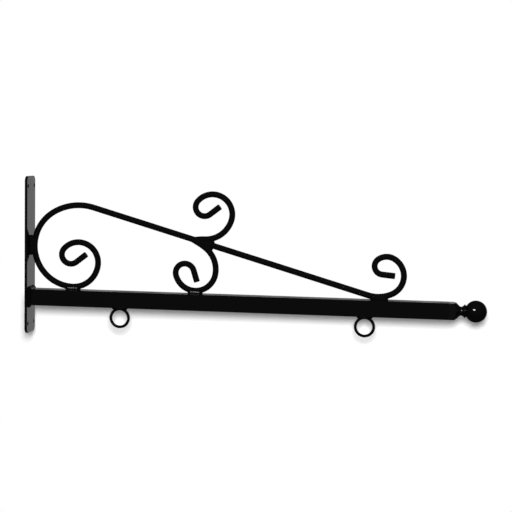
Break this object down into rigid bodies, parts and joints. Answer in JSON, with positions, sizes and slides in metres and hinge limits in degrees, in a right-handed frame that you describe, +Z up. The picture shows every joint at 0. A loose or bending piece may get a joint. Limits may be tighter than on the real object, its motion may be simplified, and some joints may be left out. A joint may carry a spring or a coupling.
{
  "type": "hanging sign bracket",
  "caption": "Wall bracket for a hanging sign: square arm on a wall plate, held by a scrolled round-bar brace, with a ball finial and rings below the arm.",
  "frame": {"origin": "centre of the wall plate's back face, which lies on the wall", "axes": "+X out from the wall along the arm, +Y across the arm, +Z up"},
  "size_m": [0.5369, 0.0318, 0.185],
  "materials": {
    "black_coat": "gloss black powder coat on steel",
    "black_bead": "gloss black powder coat on rippled weld bead"
  },
  "bodies": {
    "root": {"wall_plate": "black_coat", "arm_tube": "black_coat", "ball_finial": "black_coat", "brace_scroll": "black_coat", "upper_scroll": "black_coat", "lower_scroll": "black_coat", "inner_ring": "black_coat", "outer_ring": "black_coat", "arm_root_weld": "black_bead", "brace_wall_weld": "black_bead", "wall_scroll_weld": "black_bead", "far_scroll_weld": "black_bead", "lower_scroll_weld": "black_bead", "upper_joint_weld": "black_bead", "lower_joint_weld": "black_bead", "inner_ring_weld": "black_bead", "outer_ring_weld": "black_bead"}
  },
  "joints": []
}
